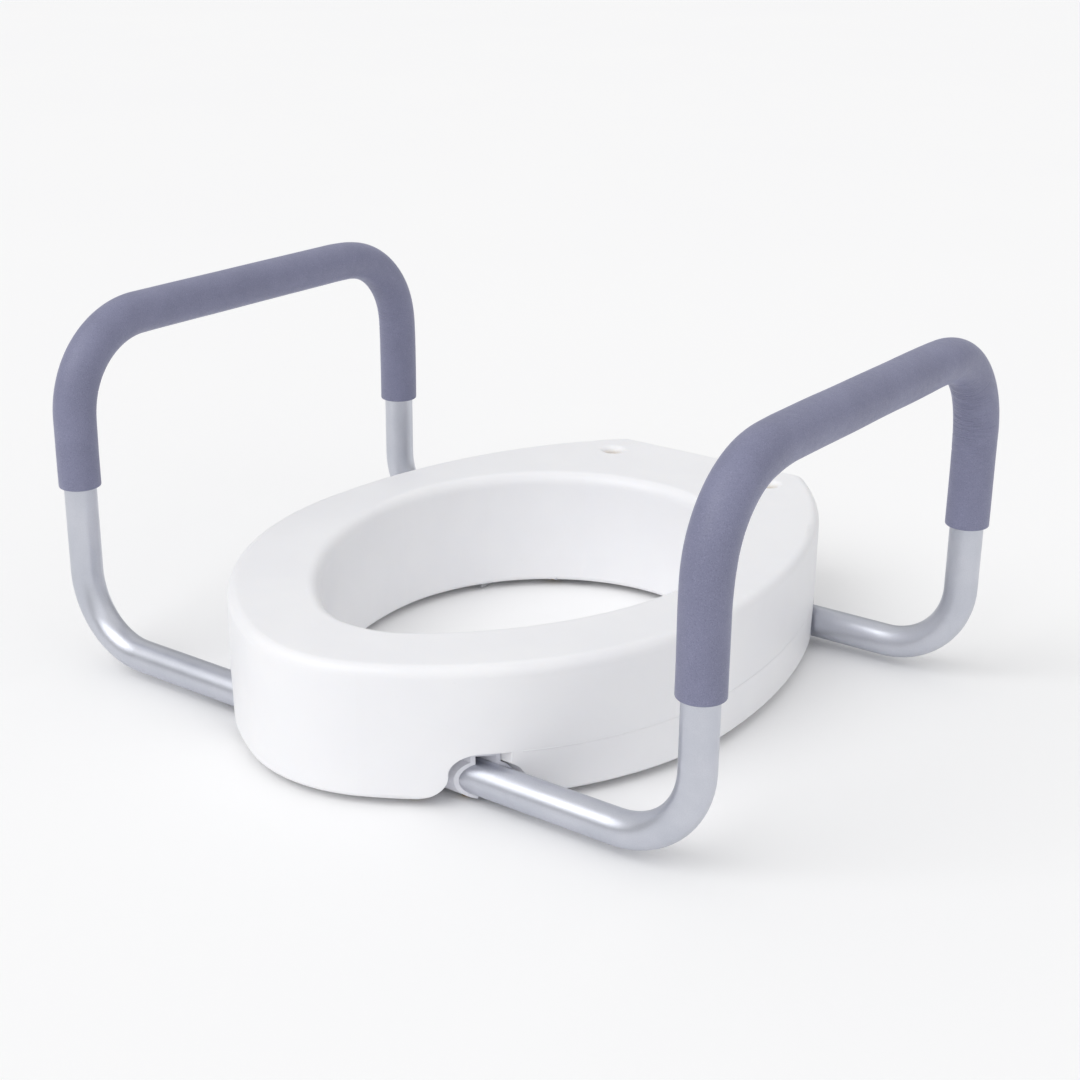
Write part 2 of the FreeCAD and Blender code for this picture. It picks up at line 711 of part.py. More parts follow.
def build_seat_core():
    """The air inside the ring: the plan inset by the wall, less the walls of everything that
    reaches in from outside."""
    wall = dim("wall")
    body = new_body("seat_core_block")
    plan = new_sketch(body, "core_plan", "XY_Plane", dim("seat_bottom") + wall)
    draw_ring_outline(plan, wall)
    draw_opening(plan, wall)
    settle(plan)
    core = add_pad(body, "core_block", plan, seat_height - wall * 2)
    top = (dim("seat_top") - wall).value
    names = edges_where(
        core.Shape, lambda point, box: abs(box.ZMin - top) < 1e-3 and abs(box.ZMax - top) < 1e-3
    )
    add_fillet(body, "core_rim", core, names, dim("rim_inner") - wall)

    keep = []
    outside = dim("half_width") + 1
    bottom = dim("seat_bottom")
    axis = dim("leg_height")
    for name, leg in LEGS.items():
        out = leg["out"]
        reach = channel_radius + wall
        relief_reach = (dim("relief_side") + wall) * out
        flare_reach = (dim("relief_side") + dim("relief_flare") + wall) * out
        ends = {
            "relief": sorted((leg["y"], leg["y"] + relief_reach), key=number_of),
            "flare": sorted((leg["y"], leg["y"] + flare_reach), key=number_of),
        }
        roof = axis + channel_top + wall
        relief_roof = axis + dim("relief_top") + wall
        flare_roof = bottom + dim("relief_flare") + wall
        for side, sign in (("right", 1), ("left", -1)):
            spans = [
                ("channel", dim("channel_start") - wall, (leg["y"] - reach, leg["y"] + reach), roof),
                ("relief", leg["relief"] - wall, ends["relief"], relief_roof),
                ("flare", leg["relief"] - wall, ends["flare"], flare_roof),
            ]
            for part, start, (near, far), high in spans:
                low_x, high_x = sorted((start * sign, outside * sign), key=number_of)
                title = f"{name}_{side}_{part}_wall"
                keep.append(box(title, low_x, high_x, near, far, bottom, high))
            ear = leg["ear"] * sign
            half = dim("ear_half") + wall
            ear_reach = dim("ear_reach") + wall
            keep.append(
                box(
                    f"{name}_{side}_ear_wall",
                    ear - half,
                    ear + half,
                    leg["y"] - ear_reach,
                    leg["y"] + ear_reach,
                    bottom,
                    bottom + dim("ear_thick") + wall,
                )
            )
            for edge, way in (("near", -1), ("far", 1)):
                along = leg["y"] + dim("ear_screw") * way
                post = dim("screw_hole") + wall
                height = dim("screw_length") + wall
                title = f"{name}_{side}_{edge}_post"
                keep.append(rod(title, ear, along, bottom, post, height))
    for side, sign in (("right", 1), ("left", -1)):
        column = dim("bolt_radius") + dim("bolt_rim") + wall
        across = dim("bolt_half") * sign
        keep.append(
            rod(f"{side}_bolt_column", across, dim("bolt_y"), bottom, column, seat_height)
        )
    for name, across, along in pad_places():
        half = dim("pad_width") * 0.5 + wall
        reach = dim("pad_length") * 0.5 + wall
        keep.append(
            box(
                f"{name}_wall",
                across - half,
                across + half,
                along - reach,
                along + reach,
                bottom,
                bottom + dim("pad_recess") + wall,
            )
        )
    walls = doc.addObject("Part::MultiFuse", "inner_walls")
    walls.Shapes = keep
    core = doc.addObject("Part::Cut", "seat_core")
    core.Base = body
    core.Tool = walls
    doc.recompute()
    return core


def build_seat_body():
    seat = doc.addObject("Part::Cut", "seat_body")
    seat.Base = build_seat_outside()
    seat.Tool = build_seat_core()
    return seat


# -------------------------------------------------------------------------------------- sockets


def sleeve_outline(sketch, radius, half, top):
    """The section of a sleeve with a keyway on top, about the leg's axis."""
    shoulder = chord(radius, half)
    zero = Size(0, "0")
    outline(
        sketch,
        [
            ((half * -1, shoulder), ((zero, zero), radius)),
            ((half, shoulder), None),
            ((half, top), None),
            ((half * -1, top), None),
        ],
    )


def build_mouth_prism():
    """Everything inside the ring's outline, less the inset of the socket mouths."""
    body = new_body("mouth_prism")
    plan = new_sketch(body, "mouth_plan", "XY_Plane", dim("seat_bottom") - 10)
    draw_ring_outline(plan, dim("mouth_inset"))
    settle(plan)
    add_pad(body, "mouth_block", plan, seat_height)
    return body


def build_socket(name, leg, sign, prism):
    """A moulded sleeve with a keyway, a closed inner end, two screw ears and a button window."""
    body = new_body(f"{name}_block")
    length = dim("half_width") - dim("sleeve_start")
    section = new_sketch(body, f"{name}_section", "YZ_Plane")
    sleeve_outline(section, sleeve_outer, key_outer_half, key_outer_top)
    sleeve_outline(section, dim("sleeve_bore"), dim("key_half"), dim("key_top"))
    settle(section)
    add_pad(body, f"{name}_sleeve", section, length)
    end = new_sketch(body, f"{name}_end_section", "YZ_Plane")
    sleeve_outline(end, sleeve_outer, key_outer_half, key_outer_top)
    settle(end)
    add_pad(body, f"{name}_end", end, dim("sleeve_wall"))

    ears = new_sketch(body, f"{name}_ear_plan", "XY_Plane", dim("seat_bottom") - dim("leg_height"))
    middle = leg["ear"] - dim("sleeve_start")
    root = dim("sleeve_bore") - 3
    for side, way in (("near", -1), ("far", 1)):
        near, far = sorted((root * way, dim("ear_reach") * way), key=number_of)
        rectangle(ears, side, middle - dim("ear_half"), middle + dim("ear_half"), near, far)
        circle(ears, f"{side}_screw", middle, dim("ear_screw") * way, dim("screw_hole"))
    settle(ears)
    add_pad(body, f"{name}_ears", ears, dim("ear_thick"))

    latch = new_sketch(body, f"{name}_latch_plan", "XY_Plane")
    window = leg["button"] - dim("sleeve_start")
    circle(latch, "window", window, Size(0, "0"), dim("window_radius"))
    slot = window + dim("window_radius") + dim("latch_bridge")
    rectangle(latch, "slot", slot, length + 5, -dim("window_radius"), dim("window_radius"))
    settle(latch)
    add_pocket(body, f"{name}_latch", latch, sleeve_outer + 1)
    place(body, dim("sleeve_start") * sign, leg["y"], dim("leg_height"), 0 if sign > 0 else 180)
    doc.recompute()

    socket = doc.addObject("Part::Common", name)
    socket.Base = body
    socket.Tool = prism
    return socket


# ------------------------------------------------------------------------------- arms and grips


def corner_points(before, corner, after, radius):
    """Start, middle and end of a bend of that radius at a square corner."""
    back = (before - corner).normalize()
    ahead = (after - corner).normalize()
    centre = corner + (back + ahead) * radius
    middle = centre - (back + ahead).normalize() * radius
    return corner + back * radius, middle, corner + ahead * radius


def bent_path(name, points, bends):
    """A path of straight runs joined by tangent arcs."""
    edges = []
    start = points[0]
    for index, radius in enumerate(bends, start=1):
        entry, middle, leave = corner_points(*points[index - 1 : index + 2], radius)
        if (entry - start).Length > 1e-6:
            edges.append(Part.LineSegment(start, entry).toShape())
        edges.append(Part.Arc(entry, middle, leave).toShape())
        start = leave
    edges.append(Part.LineSegment(start, points[-1]).toShape())
    path = doc.addObject("Part::Feature", name)
    path.Shape = Part.Wire(edges)
    return path


def swept_tube(name, path, radii, start, axis):
    """Outer sweep less inner sweep of two circles along a path."""
    sweeps = []
    for title, radius in zip(("outside", "inside"), radii):
        ring = doc.addObject("Part::Circle", f"{name}_{title}_circle")
        bind(ring, "Radius", radius)
        ring.Placement = FreeCAD.Placement(start, FreeCAD.Rotation(V(0, 0, 1), axis))
        sweep = doc.addObject("Part::Sweep", f"{name}_{title}")
        sweep.Sections = [ring]
        sweep.Spine = (path, [f"Edge{index}" for index in range(1, len(path.Shape.Edges) + 1)])
        sweep.Solid = True
        sweep.Frenet = False
        sweeps.append(sweep)
    tube = doc.addObject("Part::Cut", name)
    tube.Base, tube.Tool = sweeps
    doc.recompute()
    return tube


def arm_corners(sign):
    """The corners of an arm's path, front leg first."""
    side = dim("arm_half").value * sign
    end = dim("tube_end").value * sign
    front = dim("front_leg").value
    rear = dim("rear_leg").value
    low = dim("leg_height").value
    high = dim("arm_height").value
    return [
        V(end, front, low),
        V(side, front, low),
        V(side, front, high),
        V(side, rear, high),
        V(side, rear, low),
        V(end, rear, low),
    ]


def build_arm(name, sign):
    """A bent tube with a button hole under each leg."""
    corners = arm_corners(sign)
    low = dim("low_bend").value
    high = dim("high_bend").value
    path = bent_path(f"{name}_path", corners, [low, high, high, low])
    inner = dim("tube_radius") - dim("tube_wall")
    blank = swept_tube(
        f"{name}_blank", path, (dim("tube_radius"), inner), corners[0], V(sign, 0, 0)
    )
    holes = []
    for end, leg in LEGS.items():
        across = leg["button"] * sign
        title = f"{name}_{end}_hole"
        low_end = dim("leg_height") - dim("tube_radius") - 1
        holes.append(
            rod(title, across, leg["y"], low_end, dim("window_radius"), dim("tube_radius"))
        )
    drills = doc.addObject("Part::MultiFuse", f"{name}_holes")
    drills.Shapes = holes
    arm = doc.addObject("Part::Cut", name)
    arm.Base = blank
    arm.Tool = drills
    return arm


def build_grip(name, sign, ends):
    """A foam sleeve over the arm rest and the upper part of both uprights."""
    corners = arm_corners(sign)[1:5]
    front_end, rear_end = [dim(end).value for end in ends]
    corners[0] = V(corners[0].x, corners[0].y, front_end)
    corners[3] = V(corners[3].x, corners[3].y, rear_end)
    high = dim("high_bend").value
    path = bent_path(f"{name}_path", corners, [high, high])
    radii = (dim("grip_radius"), dim("grip_bore"))
    return swept_tube(name, path, radii, corners[0], V(0, 0, 1))


# ------------------------------------------------------------------------ buttons, screws, pads


def build_button(name, leg, sign):
    """A domed snap button with an inner flange."""
    body = new_body(name)
    profile = new_sketch(body, f"{name}_profile", "XZ_Plane")
    radius = dim("button_radius")
    tip = -dim("button_tip")
    seat = -dim("button_seat")
    head = seat + dim("flange_thick")
    flange = dim("button_flange")
    zero = Size(0, "0")
    dome = radius * 0.6
    outline(
        profile,
        [
            ((zero, tip), None),
            ((radius - dome, tip), ((radius - dome, tip + dome), dome)),
            ((radius, tip + dome), None),
            ((radius, seat), None),
            ((flange, seat), None),
            ((flange, head), None),
            ((zero, head), None),
        ],
    )
    settle(profile)
    turned = body.newObject("PartDesign::Revolution", f"{name}_turned")
    turned.Profile = profile
    turned.ReferenceAxis = (profile, ["V_Axis"])
    turned.Angle = 360
    place(body, leg["button"] * sign, leg["y"], dim("leg_height"), 0 if sign > 0 else 180)
    return body


def build_leaf(name, leg, sign):
    """A bent strip inside the tube end that pushes the button out."""
    body = new_body(name)
    profile = new_sketch(body, f"{name}_profile", "XZ_Plane")
    half = dim("leaf_thick") * 0.5
    low = -dim("leaf_low")
    high = dim("leaf_high")
    bend = -dim("leaf_run")
    middle = (high + low) * 0.5
    radius = (high - low) * 0.5
    centre = (bend, middle)
    low_end = dim("button_flange")
    high_end = low_end + 3
    outline(
        profile,
        [
            ((bend, low - half), None),
            ((low_end, low - half), None),
            ((low_end, low + half), None),
            ((bend, low + half), (centre, (radius - half) * -1)),
            ((bend, high - half), None),
            ((high_end, high - half), None),
            ((high_end, high + half), None),
            ((bend, high + half), (centre, radius + half)),
        ],
    )
    settle(profile)
    add_pad(body, f"{name}_strip", profile, dim("leaf_width"), midplane=True)
    place(body, leg["button"] * sign, leg["y"], dim("leg_height"), 0 if sign > 0 else 180)
    return body


def build_screws():
    """The pan head screws that hold the sockets up into the ring, eight alike."""
    body = new_body("socket_screw")
    profile = new_sketch(body, "screw_profile", "XZ_Plane")
    head = dim("screw_head")
    height = dim("screw_head_height")
    shank = dim("screw_radius")
    length = dim("screw_length")
    dome = height * 0.5
    zero = Size(0, "0")
    outline(
        profile,
        [
            ((zero, -height), None),
            ((head - dome, -height), ((head - dome, -height + dome), dome)),
            ((head, -height + dome), None),
            ((head, zero), None),
            ((shank, zero), None),
            ((shank, length - 3), None),
            ((zero, length), None),
        ],
    )
    settle(profile)
    turned = body.newObject("PartDesign::Revolution", "screw_turned")
    turned.Profile = profile
    turned.ReferenceAxis = (profile, ["V_Axis"])
    turned.Angle = 360
    doc.recompute()
    cross = new_sketch(body, "screw_cross", "XY_Plane", -height)
    reach = head * 0.55
    bar = head * 0.13
    cross_outline = [
        (bar, bar), (reach, bar), (reach, -bar), (bar, -bar), (bar, -reach), (-bar, -reach),
        (-bar, -bar), (-reach, -bar), (-reach, bar), (-bar, bar), (-bar, reach), (bar, reach),
    ]
    outline(cross, [(corner, None) for corner in reversed(cross_outline)])
    settle(cross)
    add_pocket(body, "screw_recess", cross, height * 0.6, reverse=True)

    copies = []
    for leg in LEGS.values():
        for sign in (1, -1):
            for way in (1, -1):
                copy = body.Shape.copy()
                across = leg["ear"].value * sign
                along = leg["y"].value + dim("ear_screw").value * way
                copy.Placement = FreeCAD.Placement(
                    V(across, along, dim("seat_bottom").value), FreeCAD.Rotation()
                )
                copies.append(copy)
    screws = doc.addObject("Part::Feature", "socket_screws")
    screws.Shape = Part.makeCompound(copies)
    return screws


def build_pad(name, across, along):
    """A rubber pad let into the underside of the ring."""
    body = new_body(name)
    plan = new_sketch(body, f"{name}_plan", "XY_Plane")
    half = dim("pad_width") * 0.5
    reach = dim("pad_length") * 0.5
    rectangle(plan, "pad", -half, half, -reach, reach)
    settle(plan)
    block = add_pad(body, f"{name}_block", plan, dim("seat_bottom") + dim("pad_recess"))
    uprights = edges_where(block.Shape, lambda point, box: box.ZMax - box.ZMin > 1)
    rounded = add_fillet(body, f"{name}_corners", block, uprights, dim("pad_corner"))
    feet = edges_where(rounded.Shape, lambda point, box: box.ZMax < 1e-3)
    add_fillet(body, f"{name}_feet", rounded, feet, dim("pad_foot"))
    place(body, across, along)
    return body


# ------------------------------------------------------------------------------------- assembly

SIDES = (("left", -1), ("right", 1))
nodes = [build_seat_body()]
mouth_prism = build_mouth_prism()
for leg_name, leg_data in LEGS.items():
    for side_name, side_sign in SIDES:
        stem = f"{leg_name}_{side_name}"
        nodes.append(build_socket(f"{stem}_socket", leg_data, side_sign, mouth_prism))
        nodes.append(build_button(f"{stem}_button", leg_data, side_sign))
        nodes.append(build_leaf(f"{stem}_button_spring", leg_data, side_sign))
for side_name, side_sign in SIDES:
    nodes.append(build_arm(f"{side_name}_arm_tube", side_sign))
    grip_ends = (f"{side_name}_front_end", f"{side_name}_rear_end")
    nodes.append(build_grip(f"{side_name}_foam_grip", side_sign, grip_ends))
for pad_name, pad_across, pad_along in pad_places():
    nodes.append(build_pad(pad_name, pad_across, pad_along))
nodes.append(build_screws())
doc.recompute()

for item in doc.Objects:
    if "Invalid" in item.State or "Error" in item.State:
        raise RuntimeError(f"{item.Name} failed: {item.State}")
os.makedirs("parts", exist_ok=True)
for node in nodes:
    shape = node.Shape
    if shape.isNull() or not shape.isValid() or not shape.Solids:
        raise RuntimeError(f"{node.Label} is not a valid solid")
    shape.exportStep(f"parts/{node.Label}.step")
    print(f"{node.Label}: {len(shape.Solids)} solid(s), {shape.Volume / 1000:.2f} cm3")
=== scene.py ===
"""Looks of a raised toilet seat: a white blow-moulded ring with two foam-gripped tube arms."""

import json
import math
import random

import bmesh
import bpy
import numpy as np
from mathutils import Matrix, Vector


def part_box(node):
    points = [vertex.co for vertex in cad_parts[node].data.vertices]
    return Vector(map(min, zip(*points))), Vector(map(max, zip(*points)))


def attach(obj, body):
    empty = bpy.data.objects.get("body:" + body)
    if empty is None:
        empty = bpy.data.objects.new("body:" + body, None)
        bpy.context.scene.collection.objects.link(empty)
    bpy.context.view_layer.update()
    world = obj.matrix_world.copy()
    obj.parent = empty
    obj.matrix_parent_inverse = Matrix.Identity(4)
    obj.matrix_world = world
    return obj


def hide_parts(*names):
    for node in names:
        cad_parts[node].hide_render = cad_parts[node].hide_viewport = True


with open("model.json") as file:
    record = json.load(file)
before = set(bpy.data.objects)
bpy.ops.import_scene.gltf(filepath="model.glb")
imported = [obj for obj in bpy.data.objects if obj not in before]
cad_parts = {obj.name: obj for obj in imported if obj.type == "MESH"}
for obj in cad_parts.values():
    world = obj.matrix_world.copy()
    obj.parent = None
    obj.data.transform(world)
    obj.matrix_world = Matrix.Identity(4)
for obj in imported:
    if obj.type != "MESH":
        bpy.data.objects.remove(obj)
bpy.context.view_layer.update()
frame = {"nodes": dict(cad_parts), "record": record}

MM = 0.001


# ------------------------------------------------------------------------------ node materials


def linear(red, green, blue):
    """A colour on the 0 to 255 scale of a screen, as Blender's linear colour."""
    values = []
    for channel in (red, green, blue):
        share = channel / 255
        values.append(share / 12.92 if share <= 0.04045 else ((share + 0.055) / 1.055) ** 2.4)
    return (*values, 1.0)


class Finish:
    """A material under construction: short calls that add nodes round one Principled shader."""

    def __init__(self, name, **sockets):
        self.material = bpy.data.materials.new(name)
        self.material.use_nodes = True
        tree = self.material.node_tree
        self.nodes = tree.nodes
        self.links = tree.links
        self.shader = self.nodes["Principled BSDF"]
        for socket, value in sockets.items():
            self.shader.inputs[socket.replace("_", " ")].default_value = value
        self.place = self.nodes.new("ShaderNodeTexCoord").outputs["Object"]

    def feed(self, socket, source):
        if isinstance(source, bpy.types.NodeSocket):
            self.links.new(source, socket)
        else:
            socket.default_value = source

    def stretched(self, scale):
        """Object coordinates in metres, stretched by three factors."""
        node = self.nodes.new("ShaderNodeMapping")
        self.links.new(self.place, node.inputs["Vector"])
        node.inputs["Scale"].default_value = scale
        return node.outputs["Vector"]

    def noise(self, size, detail=2.0, rough=0.5, place=None, bend=0.0):
        """Noise whose main blobs are about that size, in metres."""
        node = self.nodes.new("ShaderNodeTexNoise")
        self.links.new(place or self.place, node.inputs["Vector"])
        node.inputs["Scale"].default_value = 1 / size
        node.inputs["Detail"].default_value = detail
        node.inputs["Roughness"].default_value = rough
        node.inputs["Distortion"].default_value = bend
        return node.outputs["Fac"]

    def span(self, source, low, high, start=0.0, end=1.0, smooth=True):
        """Maps low..high of the source to start..end, held at both ends."""
        node = self.nodes.new("ShaderNodeMapRange")
        node.interpolation_type = "SMOOTHSTEP" if smooth else "LINEAR"
        self.feed(node.inputs["Value"], source)
        limits = {"From Min": low, "From Max": high, "To Min": start, "To Max": end}
        for socket, value in limits.items():
            node.inputs[socket].default_value = value
        return node.outputs["Result"]

    def mix(self, share, first, second):
        node = self.nodes.new("ShaderNodeMix")
        node.data_type = "RGBA"
        self.feed(node.inputs[0], share)
        self.feed(node.inputs[6], first)
        self.feed(node.inputs[7], second)
        return node.outputs[2]

    def math(self, what, first, second=0.0, third=0.0):
        node = self.nodes.new("ShaderNodeMath")
        node.operation = what
        for socket, source in zip(node.inputs, (first, second, third)):
            self.feed(socket, source)
        return node.outputs[0]

    def axes(self):
        """The three object coordinates."""
        node = self.nodes.new("ShaderNodeSeparateXYZ")
        self.links.new(self.place, node.inputs[0])
        return node.outputs

    def bump(self, height, depth, before=None):
        """Adds surface relief of that depth, in metres, for heights of 0 to 1."""
        node = self.nodes.new("ShaderNodeBump")
        node.inputs["Distance"].default_value = depth
        self.links.new(height, node.inputs["Height"])
        if before is not None:
            self.links.new(before, node.inputs["Normal"])
        return node.outputs["Normal"]

    def colour(self, source):
        self.feed(self.shader.inputs["Base Color"], source)

    def roughness(self, source):
        self.feed(self.shader.inputs["Roughness"], source)

    def normal(self, source):
        self.links.new(source, self.shader.inputs["Normal"])


def seat_finish(bolts):
    """White satin blow-moulded polyethylene, slightly uneven, with painted warm light down in the
    bolt holes where light shines through the thin walls.
    """
    look = Finish(
        "seat_plastic",
        Subsurface_Weight=0.12,
        Subsurface_Radius=(0.004, 0.0035, 0.003),
        Subsurface_Scale=1.0,
        IOR=1.49,
    )
    x, y, z = look.axes()
    side = look.math("ABSOLUTE", x)
    run = look.math("SUBTRACT", side, bolts["x"])
    rise = look.math("SUBTRACT", y, bolts["y"])
    run_squared = look.math("MULTIPLY", run, run)
    rise_squared = look.math("MULTIPLY", rise, rise)
    away = look.math("SQRT", look.math("ADD", run_squared, rise_squared))
    in_hole = look.span(away, bolts["r"] * 0.98, bolts["r"] * 1.55, 1.0, 0.0)
    deep = look.span(z, bolts["top"] - 9 * MM, bolts["top"] - 0.4 * MM, 1.0, 0.0)
    # Painted light: a warm glow, as of light shining through the thin plastic round the bolt holes,
    # is painted into the colour here.
    painted_glow_share = look.math("MULTIPLY", in_hole, deep)
    clouds = look.noise(0.09, detail=3.0, rough=0.6)
    white = look.mix(look.span(clouds, 0.3, 0.7), linear(243, 243, 245), linear(240, 240, 243))
    specks = look.span(look.noise(0.0022, detail=1.0), 0.74, 0.80)
    white = look.mix(look.math("MULTIPLY", specks, 0.25), white, linear(228, 228, 230))
    # The cream colour is painted light through the thin walls, not the plastic's own tone.
    look.colour(look.mix(painted_glow_share, white, linear(243, 236, 224)))
    look.roughness(look.span(look.noise(0.03, detail=4.0, rough=0.65), 0.3, 0.7, 0.36, 0.46))
    ripple = look.bump(look.noise(0.045, detail=2.0), 0.35 * MM)
    orange_peel = look.bump(look.noise(0.0016, detail=2.0, rough=0.6), 0.02 * MM, ripple)
    look.normal(orange_peel)
    return look.material


def socket_finish():
    """Injection-moulded sockets: a little greyer and smoother than the ring."""
    look = Finish(
        "socket_plastic",
        IOR=1.49,
        Subsurface_Weight=0.08,
        Subsurface_Radius=(0.002, 0.002, 0.002),
    )
    tone = look.span(look.noise(0.012, detail=3.0), 0.35, 0.65)
    look.colour(look.mix(tone, linear(226, 227, 234), linear(219, 220, 229)))
    look.roughness(look.span(look.noise(0.006, detail=3.0), 0.3, 0.7, 0.30, 0.42))
    look.normal(look.bump(look.noise(0.0009, detail=2.0), 0.012 * MM))
    return look.material


def tube_finish():
    """Clear satin anodised aluminium: fine even grain with faint cloudy variation."""
    look = Finish("tube_aluminium", Metallic=1.0, IOR=1.45)
    clouds = look.span(look.noise(0.05, detail=4.0, rough=0.6), 0.3, 0.7)
    tone = look.mix(clouds, linear(209, 211, 219), linear(199, 202, 211))
    grain = look.noise(0.00055, detail=3.0, rough=0.7)
    look.colour(look.mix(look.span(grain, 0.35, 0.75, 0.0, 0.35), tone, linear(181, 184, 195)))
    smudge = look.noise(0.018, detail=5.0, rough=0.65, bend=0.3)
    look.roughness(look.span(smudge, 0.3, 0.7, 0.33, 0.41))
    look.normal(look.bump(grain, 0.016 * MM))
    return look.material


def foam_finish(name, skin):
    """Closed-cell foam: a fine matt skin outside, and open cut cells on the end faces."""
    look = Finish(name, IOR=1.5, Sheen_Weight=0.30, Sheen_Roughness=0.4)
    look.shader.inputs["Sheen Tint"].default_value = linear(205, 207, 226)
    clouds = look.span(look.noise(0.035, detail=3.0, rough=0.6), 0.3, 0.7)
    tone = look.mix(clouds, linear(127, 129, 155), linear(120, 122, 147))
    cells = look.noise(0.0007 if skin else 0.0011, detail=2.0, rough=0.65)
    light = look.span(cells, 0.54, 0.72, 0.0, 0.5)
    dark = look.span(cells, 0.46, 0.30, 0.0, 0.45)
    tone = look.mix(light, tone, linear(150, 151, 180))
    tone = look.mix(dark, tone, linear(92, 92, 118))
    look.colour(tone)
    rough = look.noise(0.004, detail=3.0)
    look.roughness(look.span(rough, 0.3, 0.7, 0.46 if skin else 0.8, 0.58 if skin else 0.95))
    soft = look.bump(look.noise(0.011, detail=2.0), 0.10 * MM)
    look.normal(look.bump(cells, (0.06 if skin else 0.35) * MM, soft))
    return look.material


def zinc_finish(name, base, tint):
    """Yellow zinc plate with a faint rainbow drift of its tone."""
    look = Finish(name, Metallic=1.0)
    drift = look.noise(0.0035, detail=3.0, rough=0.6, bend=0.6)
    look.colour(look.mix(look.span(drift, 0.3, 0.7), base, tint))
    look.roughness(look.span(look.noise(0.0012, detail=3.0), 0.3, 0.7, 0.24, 0.40))
    look.normal(look.bump(look.noise(0.0005, detail=2.0), 0.006 * MM))
    return look.material


def spring_finish():
    """Bright spring steel strip with fine rolling lines along it."""
    look = Finish("spring_steel", Metallic=1.0)
    lines = look.noise(0.0004, detail=3.0, rough=0.6, place=look.stretched((0.04, 1.0, 1.0)))
    look.colour(look.mix(lines, linear(176, 178, 182), linear(200, 202, 206)))
    look.roughness(look.span(lines, 0.3, 0.7, 0.22, 0.36))
    look.normal(look.bump(lines, 0.004 * MM))
    return look.material


def pad_finish():
    """Soft light grey rubber with a dusty bloom."""
    look = Finish("pad_rubber", IOR=1.5)
    bloom = look.noise(0.006, detail=5.0, rough=0.7)
    look.colour(look.mix(look.span(bloom, 0.3, 0.7), linear(188, 189, 192), linear(172, 173, 177)))
    look.roughness(look.span(bloom, 0.3, 0.7, 0.66, 0.86))
    look.normal(look.bump(look.noise(0.0009, detail=3.0), 0.05 * MM))
    return look.material


def floor_finish():
    look = Finish("floor_paint", Roughness=0.8)
    look.colour(look.mix(look.noise(0.6, detail=2.0), linear(250, 250, 250), linear(248, 248, 249)))
    return look.material


def dress(name, material):
    """Gives a CAD node its material in every slot."""
    data = frame["nodes"][name].data
    data.materials.clear()
    data.materials.append(material)


# ------------------------------------------------------------------------------------ foam grips

TUBE_RADIUS = 11.1125 * MM
BEND_RADIUS = 62 * MM
GRIP_RADIUS = 14.4 * MM
GRIP_BORE = 11.16 * MM
END_ROUND = 0.9 * MM
BEND_SIDES = 0.2 * MM
BULGE_FULL = 36 * MM
BULGE_NONE = 64 * MM
NEAR_BEND = 62 * MM
FINE_STEP = 0.30 * MM
BEND_STEP = 1.5 * MM
PLAIN_STEP = 3.0 * MM
CREASE_MARGIN = 2 * MM
CREASES_BEFORE = 22 * MM
CREASES_AFTER = 74 * MM
ROUND_STEPS = 5
AROUND = 96


class GripLine:
    """The centreline of a grip: up the front leg, over the arm rest and down the rear leg."""

    def __init__(self, tube, grip):
        low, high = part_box(tube)
        outer = high.x if high.x > -low.x else low.x
        self.x = outer - math.copysign(TUBE_RADIUS, outer)
        self.front = low.y + TUBE_RADIUS
        self.rear = high.y - TUBE_RADIUS
        self.top = high.z - TUBE_RADIUS
        middle = (self.front + self.rear) / 2
        corners = [v.co for v in frame["nodes"][grip].data.vertices]
        front_end = min(v.z for v in corners if v.y < middle)
        rear_end = min(v.z for v in corners if v.y > middle)
        shoulder = self.top - BEND_RADIUS
        arc = BEND_RADIUS * math.pi / 2
        level = self.rear - self.front - 2 * BEND_RADIUS
        lengths = [shoulder - front_end, arc, level, arc, shoulder - rear_end]
        self.marks = np.concatenate([[0.0], np.cumsum(lengths)])
        self.length = float(self.marks[-1])
        self.front_end = front_end
        self.bends = [(self.marks[1] + self.marks[2]) / 2, (self.marks[3] + self.marks[4]) / 2]

    def at(self, s):
        """Centre and inward direction at a distance along the line."""
        marks = self.marks
        shoulder = self.top - BEND_RADIUS
        if s <= marks[1]:
            return Vector((self.x, self.front, self.front_end + s)), Vector((0, 1, 0))
        if s <= marks[2]:
            turn = (s - marks[1]) / BEND_RADIUS
            inward = Vector((0, math.cos(turn), -math.sin(turn)))
            hub = Vector((self.x, self.front + BEND_RADIUS, shoulder))
            return hub - inward * BEND_RADIUS, inward
        if s <= marks[3]:
            along = self.front + BEND_RADIUS + s - marks[2]
            return Vector((self.x, along, self.top)), Vector((0, 0, -1))
        if s <= marks[4]:
            turn = (s - marks[3]) / BEND_RADIUS
            inward = Vector((0, -math.sin(turn), -math.cos(turn)))
            hub = Vector((self.x, self.rear - BEND_RADIUS, shoulder))
            return hub - inward * BEND_RADIUS, inward
        return Vector((self.x, self.rear, shoulder - (s - marks[4]))), Vector((0, -1, 0))


def smooth_step(low, high, value):
    share = np.clip((value - low) / (high - low), 0, 1)
    return share * share * (3 - 2 * share)


